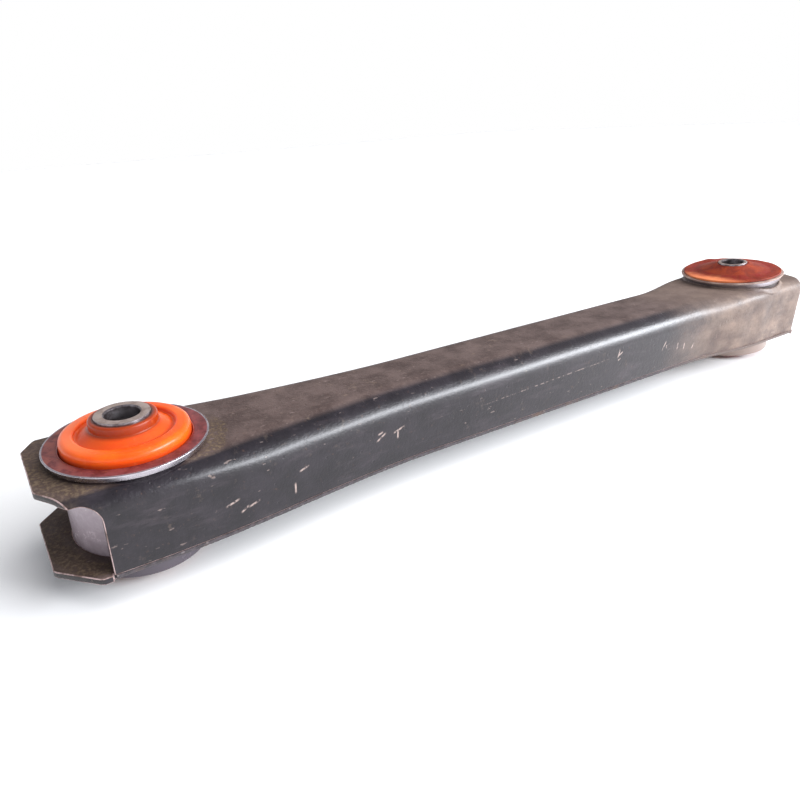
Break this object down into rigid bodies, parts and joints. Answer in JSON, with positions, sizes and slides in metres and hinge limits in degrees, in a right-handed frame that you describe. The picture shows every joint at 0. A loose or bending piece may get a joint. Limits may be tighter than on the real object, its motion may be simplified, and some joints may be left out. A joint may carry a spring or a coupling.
{
  "type": "control arm",
  "caption": "Boxed pressed-steel trailing control arm with a flanged polyurethane bush and a bolt sleeve in each end.",
  "frame": {"origin": "on the near bush axis, 2 mm under the middle of the boxed section", "axes": "+X along the arm from the near eye to the far eye, +Z along the bush axes towards the flanged side of the shells, +Y to the back"},
  "size_m": [0.488, 0.069, 0.063],
  "materials": {
    "arm_steel": "worn satin paint with dirt and scratches",
    "weld_bead": "rough",
    "shell_steel": "turned, bright rim",
    "near_polyurethane": "glossy moulded polyurethane",
    "far_polyurethane": "dusty moulded polyurethane",
    "sleeve_steel": "sawn and turned, matt"
  },
  "bodies": {
    "arm": {"upper_channel": "arm_steel", "lower_plate": "arm_steel", "front_seam_weld": "weld_bead", "back_seam_weld": "weld_bead", "near_shell": "shell_steel", "near_upper_bush": "near_polyurethane", "near_lower_bush": "near_polyurethane", "far_shell": "shell_steel", "far_upper_bush": "far_polyurethane", "far_lower_bush": "far_polyurethane"},
    "near_sleeve": {"near_sleeve": "sleeve_steel"},
    "far_sleeve": {"far_sleeve": "sleeve_steel"}
  },
  "joints": [
    {"name": "near_sleeve_turn", "type": "hinge", "parent": "arm", "child": "near_sleeve", "pos_m": [0, 0, 0], "axis": [0, 0, 1], "continuous": true},
    {"name": "far_sleeve_turn", "type": "hinge", "parent": "arm", "child": "far_sleeve", "pos_m": [0.412, 0, 0], "axis": [-0.0872, 0, 0.9962], "continuous": true}
  ]
}
